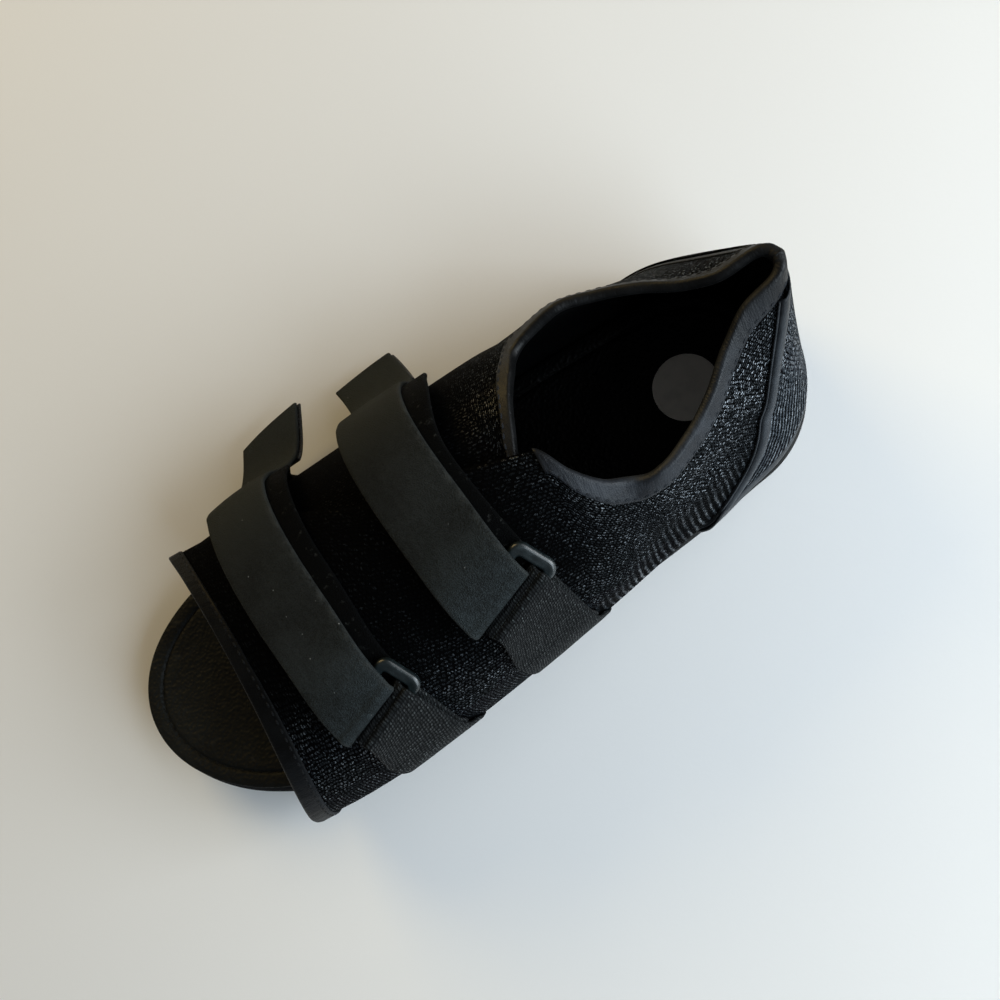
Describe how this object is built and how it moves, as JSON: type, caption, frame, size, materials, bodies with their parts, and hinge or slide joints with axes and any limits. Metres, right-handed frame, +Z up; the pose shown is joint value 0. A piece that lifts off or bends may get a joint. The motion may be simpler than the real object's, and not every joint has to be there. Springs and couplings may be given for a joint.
{
  "type": "post operative shoe",
  "caption": "Open-toe post operative shoe: mesh upper with lapped instep flaps, two straps turned through rings, bound collar, stiff heel panel and a flat rocker sole.",
  "frame": {"origin": "on the ground plane, at the centre of the flat spot under the heel", "axes": "+X forward to the toe, +Y to the left of the foot, the side with the rings, +Z up"},
  "size_m": [0.2648, 0.1347, 0.0823],
  "materials": {
    "outsole": "moulded, matte",
    "footbed": "smooth grain, satin",
    "upper": "spacer mesh, matte with glossy yarn",
    "collar_binding": "satin tape",
    "front_binding_left": "satin tape",
    "front_binding_right": "satin tape",
    "heel_counter": "spacer mesh over a stiff panel",
    "heel_seam_left": "taped seam, satin",
    "heel_seam_right": "taped seam, satin",
    "front_strap": "brushed loop face, matte",
    "front_hook": "hook fastener, matte",
    "front_ring": "moulded, satin",
    "front_webbing": "woven elastic, matte",
    "rear_strap": "brushed loop face, matte",
    "rear_hook": "hook fastener, matte",
    "rear_ring": "moulded, satin",
    "rear_webbing": "woven elastic, matte",
    "heel_label": "printed sticker, matte"
  },
  "bodies": {
    "root": {"outsole": "outsole", "footbed": "footbed", "upper": "upper", "collar_binding": "collar_binding", "front_binding_left": "front_binding_left", "front_binding_right": "front_binding_right", "heel_counter": "heel_counter", "heel_seam_left": "heel_seam_left", "heel_seam_right": "heel_seam_right", "front_strap": "front_strap", "front_hook": "front_hook", "front_ring": "front_ring", "front_webbing": "front_webbing", "rear_strap": "rear_strap", "rear_hook": "rear_hook", "rear_ring": "rear_ring", "rear_webbing": "rear_webbing", "heel_label": "heel_label"}
  },
  "joints": []
}
